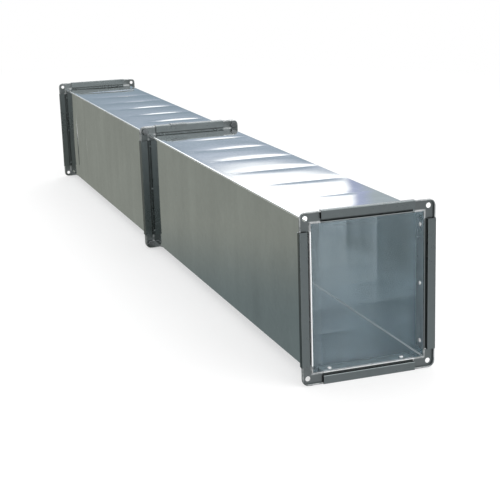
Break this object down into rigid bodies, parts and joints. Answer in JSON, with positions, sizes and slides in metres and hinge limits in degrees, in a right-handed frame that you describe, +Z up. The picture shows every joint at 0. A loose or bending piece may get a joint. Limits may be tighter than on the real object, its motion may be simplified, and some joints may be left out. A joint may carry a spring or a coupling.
{
  "type": "rectangular duct",
  "caption": "Rectangular galvanised-steel air duct of two beaded sections, joined by bolted slide-on flanges with pressed corners.",
  "frame": {"origin": "middle of the length and width, on the level of the flange edges that the duct lies on", "axes": "+Z up, +Y along the airway from the open end with the near flange towards the far end, +X to the right seen from the near end"},
  "size_m": [0.24, 2, 0.2912],
  "materials": {
    "galvanised_sheet": "bright galvanised sheet",
    "galvanised_rail": "galvanised, satin",
    "pressed_corner": "galvanised, dull",
    "rivet": "bright",
    "zinc_fastener": "zinc plated",
    "clip": "galvanised"
  },
  "bodies": {
    "root": {"far_end_corner_bottom_left": "pressed_corner", "far_end_corner_bottom_right": "pressed_corner", "far_end_corner_top_left": "pressed_corner", "far_end_corner_top_right": "pressed_corner", "far_end_rail_bottom": "galvanised_rail", "far_end_rail_left": "galvanised_rail", "far_end_rail_right": "galvanised_rail", "far_end_rail_top": "galvanised_rail", "far_end_rivets": "rivet", "far_joint_corner_bottom_left": "pressed_corner", "far_joint_corner_bottom_right": "pressed_corner", "far_joint_corner_top_left": "pressed_corner", "far_joint_corner_top_right": "pressed_corner", "far_joint_rail_bottom": "galvanised_rail", "far_joint_rail_left": "galvanised_rail", "far_joint_rail_right": "galvanised_rail", "far_joint_rail_top": "galvanised_rail", "far_joint_rivets": "rivet", "far_wall_bottom_left": "galvanised_sheet", "far_wall_top_right": "galvanised_sheet", "joint_bolts": "zinc_fastener", "joint_clip": "clip", "joint_nuts": "zinc_fastener", "near_end_corner_bottom_left": "pressed_corner", "near_end_corner_bottom_right": "pressed_corner", "near_end_corner_top_left": "pressed_corner", "near_end_corner_top_right": "pressed_corner", "near_end_rail_bottom": "galvanised_rail", "near_end_rail_left": "galvanised_rail", "near_end_rail_right": "galvanised_rail", "near_end_rail_top": "galvanised_rail", "near_end_rivets": "rivet", "near_joint_corner_bottom_left": "pressed_corner", "near_joint_corner_bottom_right": "pressed_corner", "near_joint_corner_top_left": "pressed_corner", "near_joint_corner_top_right": "pressed_corner", "near_joint_rail_bottom": "galvanised_rail", "near_joint_rail_left": "galvanised_rail", "near_joint_rail_right": "galvanised_rail", "near_joint_rail_top": "galvanised_rail", "near_joint_rivets": "rivet", "near_wall_bottom_left": "galvanised_sheet", "near_wall_top_right": "galvanised_sheet"}
  },
  "joints": []
}
